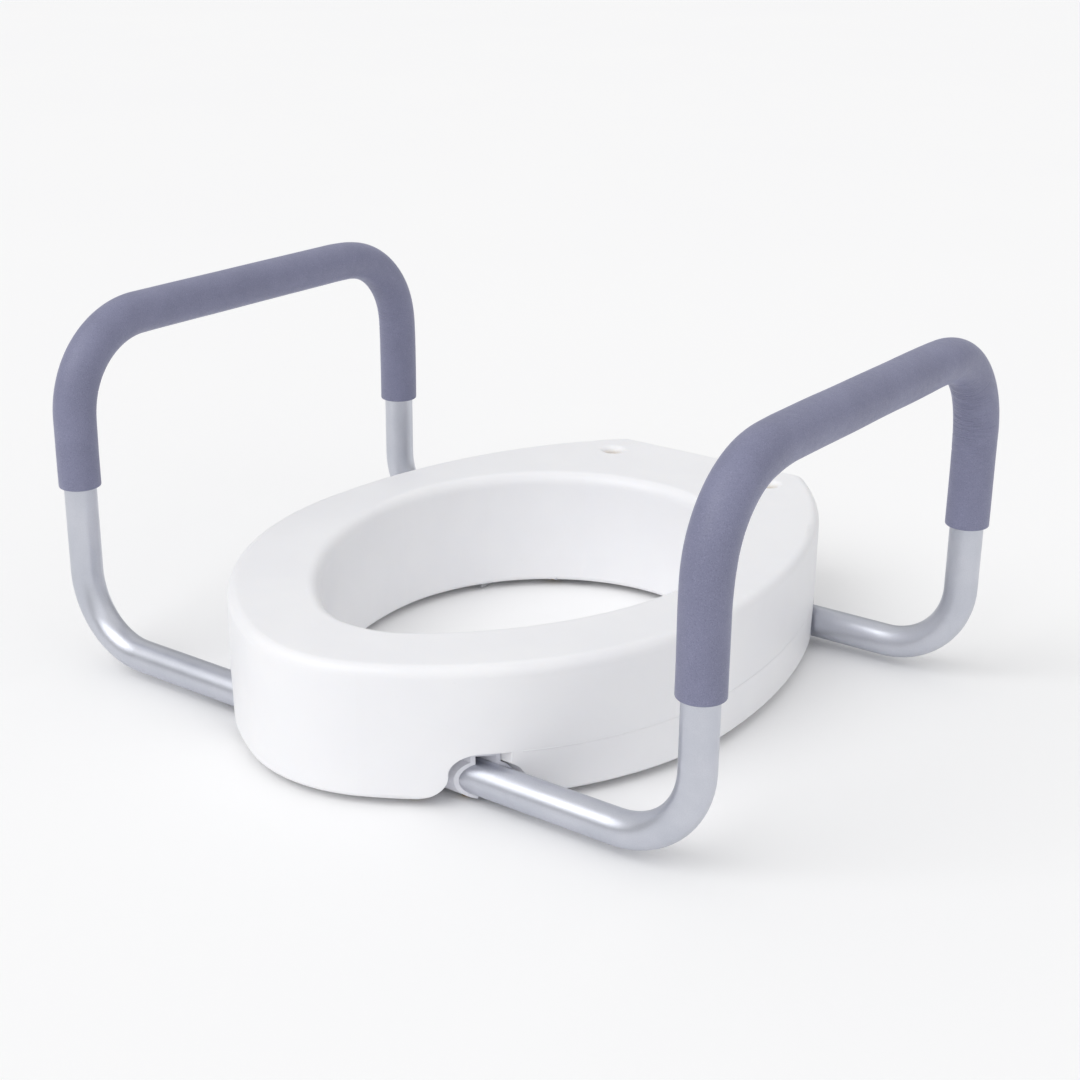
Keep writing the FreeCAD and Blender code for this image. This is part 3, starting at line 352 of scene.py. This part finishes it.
class Creases:
    """Fine cross creases where the foam is pressed together inside a bend."""

    def __init__(self, start, end, depth, seed):
        dice = random.Random(seed)
        self.start = start
        self.end = end
        self.rows = []
        s = start
        while s < end:
            share = (s - start) / (end - start)
            fade = math.sin(math.pi * min(max(share, 0.04), 0.96)) ** 0.55
            self.rows.append(
                {
                    "s": s,
                    "depth": depth * fade * dice.uniform(0.45, 1.0),
                    "width": dice.uniform(0.28, 0.46) * MM,
                    "centre": dice.gauss(0, 0.30),
                    "half": dice.uniform(0.55, 1.25),
                    "sway": dice.uniform(0.2, 0.7) * MM,
                    "phase": dice.uniform(0, 6.28),
                    "tilt": dice.gauss(0, 0.35) * MM,
                }
            )
            s += dice.uniform(1.3, 2.9) * MM

    def depth_at(self, s, angle):
        """Depth of the creases for one s and an array of angles from the inward direction."""
        total = np.zeros_like(angle)
        for row in self.rows:
            if abs(s - row["s"]) > 3.5 * MM:
                continue
            line = row["s"] + row["sway"] * np.sin(1.7 * angle + row["phase"]) + row["tilt"] * angle
            valley = np.exp(-(((s - line) / row["width"]) ** 2))
            reach = 1 - smooth_step(row["half"] * 0.55, row["half"], np.abs(angle - row["centre"]))
            total += row["depth"] * valley * reach
        return total


def grip_stations(line, creases):
    """Distances along the grip, closest together in the creases and then in the bends."""
    stations = [0.0]
    s = 0.0
    while s < line.length:
        fine = any(
            zone.start - CREASE_MARGIN < s < zone.end + CREASE_MARGIN for zone in creases
        )
        near_bend = min(abs(s - bend) for bend in line.bends) < NEAR_BEND
        s += FINE_STEP if fine else (BEND_STEP if near_bend else PLAIN_STEP)
        stations.append(min(s, line.length))
    return stations


def grip_radius(line, s, angle, creases, lumps):
    """Radius round the grip: each bend swells inside and thins outside by its own amounts."""
    inner = np.clip(np.cos(angle), 0, 1) ** 1.6
    outer = np.clip(-np.cos(angle), 0, 1) ** 1.3
    radius = np.full_like(angle, GRIP_RADIUS)
    for at, (swell, thin) in zip(line.bends, line.bulges):
        bend = 1 - smooth_step(BULGE_FULL, BULGE_NONE, abs(s - at))
        radius = radius + bend * (swell * inner - thin * outer + BEND_SIDES * np.sin(angle) ** 2)
    for wave, turns, size, phase in lumps:
        radius = radius + size * np.sin(s / wave + phase) * np.cos(turns * angle + phase * 1.7)
    for zone in creases:
        if zone.start - 4 * MM < s < zone.end + 4 * MM:
            radius = radius - zone.depth_at(s, angle)
    return radius


def build_grip(name, line, crease_depths, seed):
    """One closed foam tube with its bore, its rounded cut ends and its creases."""
    dice = random.Random(seed)
    creases = []
    for index, (bend, depth) in enumerate(zip(line.bends, crease_depths)):
        toward_end = 1 if index else -1
        ends = sorted((bend - toward_end * CREASES_BEFORE, bend + toward_end * CREASES_AFTER))
        creases.append(Creases(ends[0], ends[1], depth, seed + index))
    lumps = [
        (
            dice.uniform(9, 16) * MM,
            dice.choice((1, 2, 3)),
            dice.uniform(0.04, 0.08) * MM,
            dice.uniform(0, 6.28),
        )
        for _ in range(5)
    ]
    angle = np.linspace(0, 2 * math.pi, AROUND, endpoint=False)
    wrapped = np.where(angle > math.pi, angle - 2 * math.pi, angle)
    stations = grip_stations(line, creases)
    vertices = []

    def add_ring(s, radius):
        centre, inward = line.at(min(max(s, 0.0), line.length))
        side = Vector((1, 0, 0))
        for a, r in zip(angle, np.broadcast_to(radius, angle.shape)):
            vertices.append(centre + (inward * math.cos(a) + side * math.sin(a)) * float(r))

    steps = []
    for step in range(ROUND_STEPS + 1):
        turn = math.pi / 2 * step / ROUND_STEPS
        steps.append((END_ROUND * (1 - math.cos(turn)), END_ROUND * (1 - math.sin(turn))))
    for along, less in steps:
        add_ring(along, grip_radius(line, along, wrapped, creases, lumps) - less)
    for s in stations:
        if END_ROUND * 1.5 < s < line.length - END_ROUND * 1.5:
            add_ring(s, grip_radius(line, s, wrapped, creases, lumps))
    for along, less in reversed(steps):
        s = line.length - along
        add_ring(s, grip_radius(line, s, wrapped, creases, lumps) - less)
    skin_rings = len(vertices) // AROUND
    bore = [line.length]
    while bore[-1] > 0:
        bore.append(max(bore[-1] - 3 * MM, 0.0))
    for s in bore:
        add_ring(s, GRIP_BORE)
    rings_total = len(vertices) // AROUND

    faces = []
    for ring in range(rings_total):
        after = (ring + 1) % rings_total
        for k in range(AROUND):
            n = (k + 1) % AROUND
            here, there = ring * AROUND, after * AROUND
            faces.append((here + k, here + n, there + n, there + k))
    mesh = bpy.data.meshes.new(name)
    mesh.from_pydata(vertices, [], faces)
    mesh.materials.append(SKIN)
    mesh.materials.append(CUT)
    cut_rings = {skin_rings - 1, rings_total - 1}
    for index, polygon in enumerate(mesh.polygons):
        flat = index // AROUND in cut_rings
        polygon.material_index = 1 if flat else 0
        polygon.use_smooth = not flat
    work = bmesh.new()
    work.from_mesh(mesh)
    bmesh.ops.recalc_face_normals(work, faces=work.faces)
    work.to_mesh(mesh)
    work.free()
    piece = bpy.data.objects.new(name, mesh)
    bpy.context.scene.collection.objects.link(piece)
    return piece


# -------------------------------------------------------------------------------- the object

SKIN = foam_finish("grip_foam", True)
CUT = foam_finish("grip_foam_cut", False)
seat_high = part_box("seat_body")[1]
bolt_mount = next(m for m in frame["record"]["mounts"] if m["kind"] == "bolt_pattern")
bolts = {
    "x": bolt_mount["dims"]["spacing_x_mm"] * MM / 2,
    "y": bolt_mount["pos_m"][1],
    "r": bolt_mount["dims"]["hole_r_mm"] * MM,
    "top": seat_high.z,
}
finishes = {
    "seat_plastic": seat_finish(bolts),
    "socket_plastic": socket_finish(),
    "tube_aluminium": tube_finish(),
    "pad_rubber": pad_finish(),
    "button_zinc": zinc_finish("button_zinc", linear(206, 172, 92), linear(190, 160, 88)),
    "screw_zinc": zinc_finish("screw_zinc", linear(204, 174, 104), linear(188, 166, 112)),
    "spring_steel": spring_finish(),
}
for part in frame["record"]["subparts"]:
    if part["material_slot"] in finishes:
        dress(part["node"], finishes[part["material_slot"]])

CREASE_DEPTHS = {"left": (0.20 * MM, 0.30 * MM), "right": (0.22 * MM, 0.55 * MM)}
BEND_BULGES = {
    "left": ((0.2 * MM, 0.0), (0.6 * MM, 1.3 * MM)),
    "right": ((2.3 * MM, 1.1 * MM), (0.7 * MM, 0.6 * MM)),
}
for seed, side in enumerate(("left", "right")):
    line = GripLine(f"{side}_arm_tube", f"{side}_foam_grip")
    line.bulges = BEND_BULGES[side]
    grip = build_grip(f"{side}_grip", line, CREASE_DEPTHS[side], 40 + 7 * seed)
    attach(grip, f"{side}_arm")
    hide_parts(f"{side}_foam_grip")


# -------------------------------------------------------------------------- the parting line

SEAM_HEIGHT = 35.5 * MM
SEAM_PROUD = 0.20 * MM
SEAM_SUNK = 0.25 * MM
SEAM_HALF = 0.55 * MM
SEAM_STEPS = 720
MOUTH_NEAR = 11 * MM
MOUTH_FAR = 22 * MM


def ring_points():
    """Points and outward directions round the ring's side, each run ending at a leg's mouth."""
    seat = frame["nodes"]["seat_body"]
    inverse = seat.matrix_world.inverted()
    legs = []
    for end, out in (("front", -1), ("rear", 1)):
        low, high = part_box(f"{end}_right_socket")
        legs.append(((low.y + high.y) / 2, out))
    runs, run = [], []
    for step in range(SEAM_STEPS + 1):
        angle = -math.pi / 2 + 2 * math.pi * step / SEAM_STEPS
        toward = Vector((math.cos(angle), math.sin(angle), 0))
        start = toward * 0.5 + Vector((0, 0, SEAM_HEIGHT))
        hit, place, normal, _ = seat.ray_cast(inverse @ start, inverse.to_3x3() @ -toward)
        place = seat.matrix_world @ place
        in_mouth = any(-MOUTH_NEAR < (place.y - leg) * out < MOUTH_FAR for leg, out in legs)
        ahead = place.y < legs[0][0]
        if not hit or in_mouth or ahead:
            if len(run) > 2:
                runs.append(run)
            run = []
            continue
        normal = (seat.matrix_world.to_3x3() @ normal).normalized()
        run.append((place, Vector((normal.x, normal.y, 0)).normalized()))
    if len(run) > 2:
        runs.append(run)
    return runs


def build_seam():
    """A faint moulded ridge along the ring's sides and back, broken at the mouths."""
    section = ((-SEAM_HALF, -SEAM_SUNK), (-SEAM_HALF * 0.5, SEAM_PROUD * 0.75), (0, SEAM_PROUD))
    section += ((SEAM_HALF * 0.5, SEAM_PROUD * 0.75), (SEAM_HALF, -SEAM_SUNK))
    count = len(section)
    vertices, faces = [], []
    for run in ring_points():
        first = len(vertices)
        for place, outward in run:
            for rise, reach in section:
                vertices.append(place + outward * reach + Vector((0, 0, rise)))
        for k in range(len(run) - 1):
            for n in range(count):
                here, there = first + k * count, first + (k + 1) * count
                after = (n + 1) % count
                faces.append((here + n, there + n, there + after, here + after))
        faces.append(tuple(first + n for n in range(count)))
        last = first + (len(run) - 1) * count
        faces.append(tuple(last + n for n in reversed(range(count))))
    mesh = bpy.data.meshes.new("parting_line")
    mesh.from_pydata(vertices, [], faces)
    mesh.materials.append(finishes["seat_plastic"])
    work = bmesh.new()
    work.from_mesh(mesh)
    bmesh.ops.recalc_face_normals(work, faces=work.faces)
    work.to_mesh(mesh)
    work.free()
    for polygon in mesh.polygons:
        polygon.use_smooth = True
    seam = bpy.data.objects.new("parting_line", mesh)
    bpy.context.scene.collection.objects.link(seam)
    return seam


seam = build_seam()
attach(seam, "seat")


# ------------------------------------------------------------------------- floor, lights, camera


def add_floor():
    half = 12.0
    mesh = bpy.data.meshes.new("floor")
    corners = [(-half, -half, 0), (half, -half, 0), (half, half, 0), (-half, half, 0)]
    mesh.from_pydata(corners, [], [(0, 1, 2, 3)])
    mesh.materials.append(floor_finish())
    floor = bpy.data.objects.new("floor", mesh)
    bpy.context.scene.collection.objects.link(floor)


def add_sun(name, azimuth, elevation, spread, strength):
    """A very broad soft light from far away. Azimuth 0 is from the front, 90 from the right."""
    data = bpy.data.lights.new(name, "SUN")
    data.angle = math.radians(spread)
    data.energy = strength
    lamp = bpy.data.objects.new(name, data)
    lamp.rotation_euler = (math.radians(90 - elevation), 0, math.radians(azimuth))
    bpy.context.scene.collection.objects.link(lamp)


def add_sky():
    """A white studio: bright overhead, much dimmer towards the horizon."""
    world = bpy.data.worlds.new("studio")
    world.use_nodes = True
    nodes, links = world.node_tree.nodes, world.node_tree.links
    place = nodes.new("ShaderNodeTexCoord").outputs["Generated"]
    split = nodes.new("ShaderNodeSeparateXYZ")
    links.new(place, split.inputs[0])
    ramp = nodes.new("ShaderNodeMapRange")
    ramp.interpolation_type = "SMOOTHSTEP"
    links.new(split.outputs["Z"], ramp.inputs["Value"])
    for socket, value in zip(("From Min", "From Max", "To Min", "To Max"), (-0.1, 0.8, 0.34, 0.80)):
        ramp.inputs[socket].default_value = value
    background = nodes["Background"]
    background.inputs["Color"].default_value = (1.0, 1.0, 1.0, 1.0)
    links.new(ramp.outputs["Result"], background.inputs["Strength"])
    bpy.context.scene.world = world


CAMERA_PLACE = (0.7145, -0.9735, 0.5410)
CAMERA_YAW = 0.66143
CAMERA_PITCH = 0.36236
CAMERA_ROLL = -0.00266
CAMERA_LENS = 62.39
CAMERA_SHIFT = (0.0558, 0.0110)


def add_camera():
    data = bpy.data.cameras.new("camera")
    data.lens = CAMERA_LENS
    data.sensor_width = 36.0
    data.shift_x, data.shift_y = CAMERA_SHIFT
    data.clip_start = 0.02
    camera = bpy.data.objects.new("camera", data)
    turn = (
        Matrix.Rotation(CAMERA_YAW, 4, "Z")
        @ Matrix.Rotation(math.pi / 2 - CAMERA_PITCH, 4, "X")
        @ Matrix.Rotation(CAMERA_ROLL, 4, "Z")
    )
    camera.matrix_world = Matrix.Translation(CAMERA_PLACE) @ turn
    bpy.context.scene.collection.objects.link(camera)
    bpy.context.scene.camera = camera


bpy.context.scene.view_settings.view_transform = "Standard"
add_floor()
add_sky()
add_sun("key", -18, 44, 50, 1.12)
add_sun("fill", 62, 24, 60, 0.28)
add_camera()
